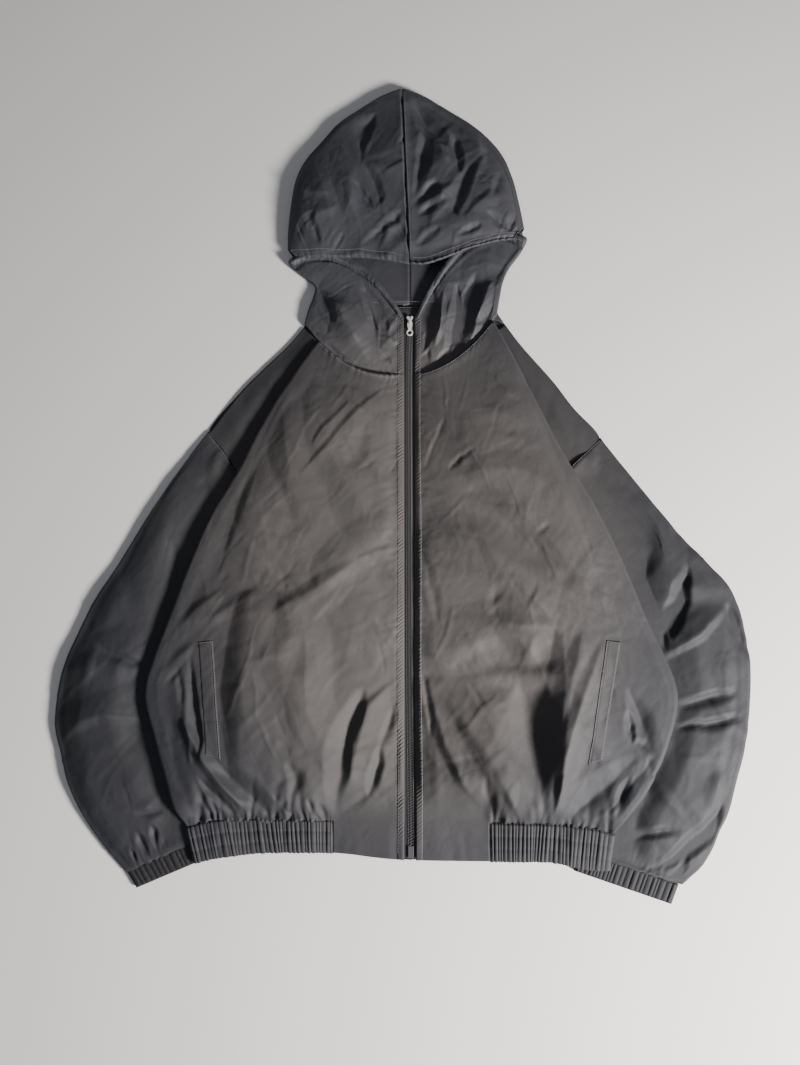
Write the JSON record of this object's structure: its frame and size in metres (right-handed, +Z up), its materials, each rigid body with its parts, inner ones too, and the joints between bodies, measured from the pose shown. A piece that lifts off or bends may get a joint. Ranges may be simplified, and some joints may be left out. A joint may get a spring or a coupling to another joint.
{
  "type": "windbreaker jacket",
  "caption": "Hooded zip-front windbreaker laid flat on its back: gathered elastic hem and cuffs, dropped shoulders, slanted welt pockets, drawn hood edge.",
  "frame": {"origin": "on the floor, under the zip, 293 mm above the zip's foot", "axes": "+Z up from the floor through the laid garment, +Y along the zip towards the hood, +X towards the wearer's left sleeve"},
  "size_m": [0.8165, 1.0219, 0.0352],
  "materials": {
    "shell": "fine plain-woven nylon, dull with a soft sheen, warm charcoal in the light and slate in shade",
    "zip_tape": "black woven polyester tape, matt",
    "zip_teeth": "black moulded teeth, half gloss",
    "zip_metal": "bright nickel plate"
  },
  "bodies": {
    "garment": {"back": "shell", "front_right": "shell", "front_left": "shell", "front_right_shoulder": "shell", "front_left_shoulder": "shell", "sleeve_right": "shell", "sleeve_right_under": "shell", "sleeve_left": "shell", "sleeve_left_under": "shell", "cuff_right": "shell", "cuff_left": "shell", "hem_back": "shell", "hem_front_right": "shell", "hem_front_left": "shell", "hood_right": "shell", "hood_left": "shell", "hood_front_right": "shell", "hood_front_left": "shell", "hood_back_right": "shell", "hood_back_left": "shell", "pocket_welt_right": "shell", "pocket_welt_left": "shell", "zip_tape_right": "zip_tape", "zip_tape_left": "zip_tape", "zip_chain": "zip_teeth", "zip_box": "zip_teeth", "zip_slider": "zip_metal"},
    "zip_pull": {"zip_pull": "zip_metal"}
  },
  "joints": [
    {"name": "pull_hinge", "type": "hinge", "parent": "garment", "child": "zip_pull", "pos_m": [0, 0.3505, 0.00735], "axis": [-1, 0, 0], "range_deg": [0, 150]}
  ]
}
